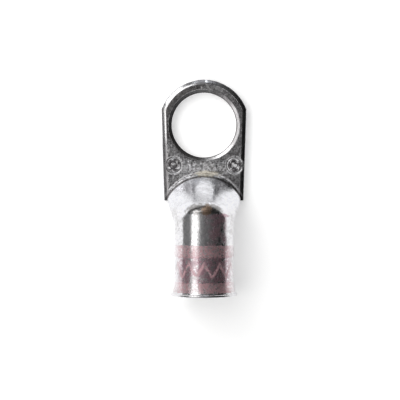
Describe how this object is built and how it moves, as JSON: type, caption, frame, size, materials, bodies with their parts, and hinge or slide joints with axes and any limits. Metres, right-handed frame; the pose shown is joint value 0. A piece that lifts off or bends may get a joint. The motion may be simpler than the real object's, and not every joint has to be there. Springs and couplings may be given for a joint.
{
  "type": "cable lug",
  "caption": "Tinned copper tube lug: flat palm with a large stud hole, pressed ramp, round barrel with a bell mouth.",
  "frame": {"origin": "centre of the stud hole on the palm's flat mounting face", "axes": "+Z along the stud's axis, out of the palm's top face; +Y toward the round end of the palm, so the barrel's mouth faces -Y"},
  "size_m": [0.018, 0.0449, 0.014],
  "materials": {
    "tinned_copper": "bright tin plating over copper, with rose ink bands"
  },
  "bodies": {
    "root": {"cable_lug": "tinned_copper"}
  },
  "joints": []
}
